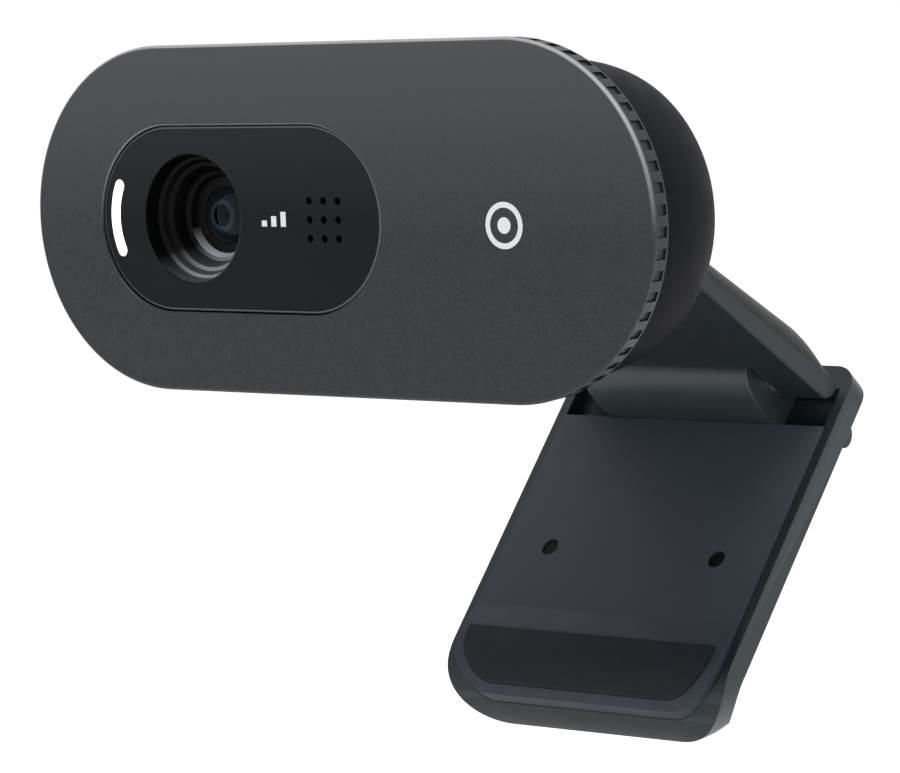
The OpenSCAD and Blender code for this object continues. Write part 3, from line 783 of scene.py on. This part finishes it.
def build_light_bar():
    """Softly domed diffuser of the indicator light."""
    bm = bmesh.new()
    rings = [ring_at(arc_band(-0.02), 3.0)]
    for inset, depth in reversed(fillet_steps(0.45, 6)):
        rings.append(ring_at(arc_band(-0.02 - inset), PANEL_FACE - 0.02 + depth * 0.4))
    loops = skin(bm, rings)
    flat_fill(bm, [loops[0]])
    flat_fill(bm, [loops[-1]])
    piece("light_bar", "head", GLOW, bm, HEAD, ("led_light_pipe",), sharp=60)


def build_lens():
    """Stepped cone, the ring at its end painted bright as a highlight, and the domed front glass."""
    bm = bmesh.new()
    wall = FUNNEL_R - 0.03
    lathe(bm, [(wall, 0.4), (wall - 0.12, 0.36), (wall - 0.3, 1.62), (wall - 0.36, 1.75),
               (5.48, 1.8), (5.36, 1.86), (5.28, 2.0), (5.1, 2.42), (5.02, 2.52),
               (4.82, 2.56), (4.7, 2.62), (4.62, 2.76), (4.3, 3.75), (4.22, 3.92),
               (4.12, 4.0), (4.0, 4.04), (BEZEL_R, 4.1), (BEZEL_R, 5.3), (wall, 5.3)], LENS_X)
    piece("lens_cone", "head", SHROUD, bm, HEAD, ("lens_shroud",), sharp=50)
    bm = bmesh.new()
    rim = BEZEL_R - 0.01
    lathe(bm, [(rim, 4.11), (rim - 0.05, 4.13), (3.5, 4.9), (3.42, 5.0), (3.4, 5.2), (rim, 5.3)],
          LENS_X)
    piece("lens_bezel", "head", BEZEL, bm, HEAD, sharp=50)
    bm = bmesh.new()
    dome = [(GLASS_R * math.sin(t), 6.15 - 2.0 * math.cos(t))
            for t in [math.pi / 2 * i / 14 for i in range(15)]]
    pole, base = 0.001, 6.6
    lathe(bm, [(pole, base)] + [(max(r, pole), y) for r, y in dome] + [(GLASS_R, base)], LENS_X)
    piece("front_glass", "head", LENS_GLASS, bm, HEAD, ("lens_front_element",),
          sharp=60)


def build_print():
    """Generic pictograms: rising bars on the panel, a ring with a dot on the cover."""
    bm = bmesh.new()
    root = 0.05
    for index, height in enumerate((0.55, 0.95, 1.35)):
        x = BARS_X + index * BAR_PITCH
        corners = [(x, BARS_Z), (x + BAR_W, BARS_Z), (x + BAR_W, BARS_Z + height),
                   (x, BARS_Z + height)]
        loops = skin(bm, [ring_at(corners, PANEL_FACE + root),
                          ring_at(corners, PANEL_FACE - PRINT_PROUD)])
        bm.faces.new(loops[0])
        bm.faces.new(loops[1])
    piece("print_bars", "head", INK, bm, HEAD)
    bm = bmesh.new()
    for outer_r, inner_r, steps in ((2.05, 1.55, 96), (0.72, 0.001, 48)):
        lathe(bm, [(outer_r, root), (outer_r, -PRINT_PROUD), (inner_r, -PRINT_PROUD),
                   (inner_r, root)], MARK_X, MARK_Z, steps)
    piece("print_ring", "head", INK, bm, HEAD)


# ---------------------------------------------------------------- rear housing


def bowl_ring(turn, inset, steps=44):
    """One ring of the bowl; turn runs from 0 at the seam to 90 degrees at the back."""
    angle = math.radians(turn)
    half_w = HOUSING_HALF_W - HOUSING_SHRINK_W * (1 - math.cos(angle)) - inset
    half_h = HOUSING_HALF_H - HOUSING_SHRINK_H * (1 - math.cos(angle)) - inset
    start = RIM_DEPTH + SEAM_GAP
    y = start + (HEAD_DEPTH - inset - start) * math.sin(angle)
    points = stadium(0, half_w, half_h, steps)(0)
    return [(x, y, z - HOUSING_DROP) for x, z in points]


def recess_cutter():
    """Space that the arm's barrel and plate sweep, as an object to cut with."""
    low, high, reach = 0.4, RECESS_R, 12
    down, up = math.radians(RECESS_DOWN), math.radians(RECESS_UP)
    round_part = arc(0, 0, RECESS_R, RECESS_UP + 90, 360 + RECESS_DOWN - 60, 40)
    outline = round_part + [
        (-low * math.sin(down), low * math.cos(down)),
        (-low * math.sin(down) + reach * math.cos(down),
         low * math.cos(down) + reach * math.sin(down)),
        (reach * math.cos(up) - high * math.sin(up),
         reach * math.sin(up) + high * math.cos(up))]
    bm = bmesh.new()
    sides = [[(side * RECESS_HALF_W, tilt_y + y, tilt_z + z) for y, z in outline]
             for side in (-1, 1)]
    loops = skin(bm, sides)
    flat_fill(bm, [loops[0]])
    flat_fill(bm, [loops[1]])
    return object_of("recess_cutter", bm, HEAD)


def build_housing():
    """Rounded bowl behind the seam, opened for the tilt hinge."""
    turns = [90 * i / 26 for i in range(27)]
    bm = bmesh.new()
    loops = skin(bm, [bowl_ring(turn, 0) for turn in turns])
    inner_loops = skin(bm, [bowl_ring(turn, HOUSING_WALL) for turn in reversed(turns)])
    flat_fill(bm, [loops[-1]])
    flat_fill(bm, [inner_loops[0]])
    for i in range(len(loops[0])):
        j = (i + 1) % len(loops[0])
        bm.faces.new((loops[0][i], loops[0][j], inner_loops[-1][j], inner_loops[-1][i]))
    bowl = object_of("housing_bowl", bm, HEAD)
    cutter = recess_cutter()
    cut = bowl.modifiers.new("recess", "BOOLEAN")
    cut.operation = "DIFFERENCE"
    cut.object = cutter
    cut.solver = "EXACT"
    add_bevel(bowl, 0.22, 3, 40)
    apply_modifiers(bowl)
    bpy.data.objects.remove(cutter)
    dress(bowl, "head", HOUSING, ("rear_housing",), sharp=40)


# ---------------------------------------------------------------- arm of the clip


def arm_top(y):
    """Height of the arm's crown line at y."""
    if y > ARM_LEN:
        return ARM_HINGE_Z + math.sqrt(max(0.0, ARM_END_R ** 2 - (y - ARM_LEN) ** 2))
    if y > CROWN_Y:
        drop = CROWN_Z - ARM_HINGE_Z - ARM_END_R
        return CROWN_Z - drop * ((y - CROWN_Y) / (ARM_LEN - CROWN_Y)) ** 2.4
    return BARREL_R + (CROWN_Z - BARREL_R) * (max(y, 0) / CROWN_Y) ** 1.15


def arm_bottom(y):
    """Height of the arm's underside at y."""
    if y > ARM_LEN:
        return ARM_HINGE_Z - math.sqrt(max(0.0, ARM_END_R ** 2 - (y - ARM_LEN) ** 2))
    return ARM_UNDER


def arm_side(y):
    """Height at which the flat side wall turns into the rounded top."""
    side = 2.15 + SIDE_RISE * (y - 17)
    top = arm_top(y)
    bottom = arm_bottom(y)
    return min(side, bottom + 0.85 * (top - bottom))


def arm_surface(x, y):
    """(top, bottom) heights of the arm at x, y."""
    from_side = ARM_HALF_W - abs(x)
    ledge = 0.2
    top, side = arm_top(y), arm_side(y)
    share = min(max((from_side - ledge) / ARM_EDGE_W, 0.0), 1.0)
    lift = math.sqrt(1 - (1 - share) ** 2)
    upper = side + (top - side) * lift
    lower = arm_bottom(y) + max(0.0, 0.14 - from_side)
    return upper, min(lower, side - 0.02)


def build_arm():
    """Arm plate with rounded top edges, round end and the knuckle's notch; its barrel."""
    half = [ARM_HALF_W, ARM_HALF_W - 0.03, ARM_HALF_W - 0.14]
    half += [ARM_HALF_W - 0.2 - ARM_EDGE_W * (1 - math.cos(math.pi / 2 * i / 9))
             for i in range(10)]
    half += [12.4, NOTCH_HALF_W, 9, 6, 3]
    xs = [-x for x in half] + [0] + half[::-1]
    ys = [3.2, 4.5, 6, 8, 10, 12, 15, 18, 21, 24, 27, 30, 32, NOTCH_Y, 35, 36, 37, 38, 39]
    ys += [ARM_LEN + ARM_END_R * math.sin(math.pi / 2 * i / 9) for i in range(10)]
    bm = bmesh.new()
    upper, lower = {}, {}
    for i, x in enumerate(xs):
        for j, y in enumerate(ys):
            top, bottom = arm_surface(x, y)
            upper[i, j] = bm.verts.new((x, y, top))
            lower[i, j] = bm.verts.new((x, y, bottom))

    def solid(i, j):
        if not (0 <= i < len(xs) - 1 and 0 <= j < len(ys) - 1):
            return False
        return abs(xs[i] + xs[i + 1]) / 2 >= NOTCH_HALF_W or ys[j] < NOTCH_Y - 0.01

    for i in range(len(xs) - 1):
        for j in range(len(ys) - 1):
            if not solid(i, j):
                continue
            corners = [(i, j), (i + 1, j), (i + 1, j + 1), (i, j + 1)]
            bm.faces.new([upper[c] for c in corners])
            bm.faces.new([lower[c] for c in reversed(corners)])
            neighbours = [(i, j - 1), (i + 1, j), (i, j + 1), (i - 1, j)]
            for k, other in enumerate(neighbours):
                if not solid(*other):
                    a, b = corners[k], corners[(k + 1) % 4]
                    bm.faces.new((upper[a], lower[a], lower[b], upper[b]))
    loose = [v for v in bm.verts if not v.link_faces]
    bmesh.ops.delete(bm, geom=loose, context="VERTS")
    piece("arm_plate", "clip", ARM_PLASTIC, bm, ARM, ("clip_arm",))
    bm = bmesh.new()
    reach = RECESS_HALF_W - 0.96
    chamfer = 0.25
    profile = [(PIN_HOLE_R, -reach), (BARREL_R - chamfer, -reach), (BARREL_R, -reach + chamfer),
               (BARREL_R, reach - chamfer), (BARREL_R - chamfer, reach), (PIN_HOLE_R, reach)]
    rings = [[(along, radius * math.cos(a), radius * math.sin(a))
              for a in [2 * math.pi * i / 72 for i in range(72)]] for radius, along in profile]
    skin(bm, rings, around=True)
    piece("arm_barrel", "clip", ARM_PLASTIC, bm, ARM)


# ---------------------------------------------------------------- flap and inner pieces


def build_flap():
    """The flap's four parts with their edges rounded."""
    rounded_node("flap_shell", "flap_tray", 0.7, TRAY_PLASTIC, "flap", 4)
    rounded_node("flap_inner_plate", "flap_lining", 0.16, PLATE, "flap")
    rounded_node("flap_knuckle", "knuckle_block", 0.22, FLAP_PLASTIC, "flap")
    rounded_node("foot_pad", "pad_cushion", 0.3, RUBBER, "flap", 4)


def dress_inner_nodes():
    """Rounded copies or plain repaints of the pieces inside and of the small hardware."""
    rounded = {
        "cable_gland": (0.15, "gland_rubber", GLAND_RUBBER),
        "hinge_bracket": (0.12, "housing_plastic", HOUSING),
        "lens_barrel": (0.1, "barrel_plastic", BARREL),
        "lens_holder": (0.12, "barrel_plastic", BARREL),
        "board_connector": (0.12, "connector_plastic", NYLON),
        "usb_controller_chip": (0.08, "chip_plastic", CHIP),
        "memory_chip": (0.08, "chip_plastic", CHIP),
        "microphone_boot": (0.15, "gland_rubber", GLAND_RUBBER),
        "microphone_capsule": (0.12, "can_aluminium", CAN),
        "tilt_pin": (0.15, "pin_steel", STEEL),
        "hinge_pin": (0.12, "pin_steel", STEEL),
        "circuit_board": (0.06, "board_laminate", LAMINATE),
    }
    body_of = {node: body for body, nodes in record["behaviour"]["bodies"].items()
               for node in nodes}
    for node, (width, slot, material) in rounded.items():
        rounded_node(node, node + "_finished", width, material, body_of[node], 2)
    repaint = {
        "lens_spacer": BARREL, "lens_rear_element": LENS_GLASS, "ir_cut_filter": FILTER,
        "image_sensor": CHIP, "status_led": NYLON, "microphone_mesh": CLOTH,
        "board_screws": SCREW_PAINTED_SHADE, "bracket_screws": SCREW_PAINTED_SHADE, "flap_screws": SCREW_PAINTED_SHADE,
        "tilt_friction_washers": SPRING, "hinge_friction_washers": SPRING,
    }
    for node, material in repaint.items():
        mesh = frame["nodes"][node].data
        mesh.materials.clear()
        mesh.materials.append(material)


# ---------------------------------------------------------------- studio, in metres

FLOOR_HALF = 60.0
FLOOR_DROP = 0.03


def build_studio():
    """Pale floor, even white surroundings and three soft lights."""
    bm = bmesh.new()
    bmesh.ops.create_grid(bm, x_segments=4, y_segments=4, size=FLOOR_HALF)
    floor = object_of("floor", bm)
    floor.location.z = cad_bounds[0][2] - FLOOR_DROP
    paper = Nodes("floor_paper")
    cloud = paper.remap(paper.noise(40, 2), 0.3, 0.7, 0, 1)
    paper.link(paper.mix(cloud, (0.90, 0.90, 0.90), (0.92, 0.92, 0.92)),
               paper.shader.inputs["Base Color"])
    paper.shader.inputs["Roughness"].default_value = 0.9
    floor.data.materials.append(paper.material)

    world = bpy.data.worlds.new("studio")
    bpy.context.scene.world = world
    world.use_nodes = True
    background = world.node_tree.nodes["Background"]
    background.inputs["Color"].default_value = (1.0, 1.0, 1.0, 1)
    background.inputs["Strength"].default_value = 1.12

    def soft_light(name, offset, size, energy):
        light = bpy.data.lights.new(name, "AREA")
        light.shape = "RECTANGLE"
        light.size, light.size_y = size
        light.energy = energy
        lamp = new_object(name, light)
        lamp.location = head_centre + Vector(offset)
        toward = head_centre - lamp.location
        lamp.rotation_euler = toward.to_track_quat("-Z", "Y").to_euler()

    soft_light("key", (0.12, -0.30, 0.75), (0.40, 0.30), 4.0)
    soft_light("side", (0.60, -0.02, 0.10), (0.08, 0.35), 1.0)
    soft_light("front_fill", (0.25, -0.9, -0.05), (0.15, 0.08), 0.4)


def build_camera():
    """Long-lens camera, front right and slightly above, rolled a little."""
    azimuth, elevation, roll = (math.radians(a) for a in (39.815, 5.876, -2.432))
    distance = 0.37354
    aim = head_centre + Vector((0.00895, 0.00542, -0.01523))
    back = Vector((math.sin(azimuth) * math.cos(elevation),
                   -math.cos(azimuth) * math.cos(elevation), math.sin(elevation)))
    level = Vector((math.cos(azimuth), math.sin(azimuth), 0))
    upright = back.cross(level)
    right = math.cos(roll) * level + math.sin(roll) * upright
    up = back.cross(right)
    turn = Matrix((right, up, back)).transposed().to_4x4()
    data = bpy.data.cameras.new("camera")
    data.lens = 167.18
    data.sensor_width = 36
    data.clip_start = 0.01
    camera = new_object("camera", data)
    camera.matrix_world = Matrix.Translation(aim + distance * back) @ turn
    bpy.context.scene.camera = camera


build_camera()
build_cover()
build_panel()
build_light_bar()
build_lens()
build_print()
build_housing()
build_arm()
build_flap()
dress_inner_nodes()
build_studio()
bpy.context.scene.view_settings.view_transform = "Standard"
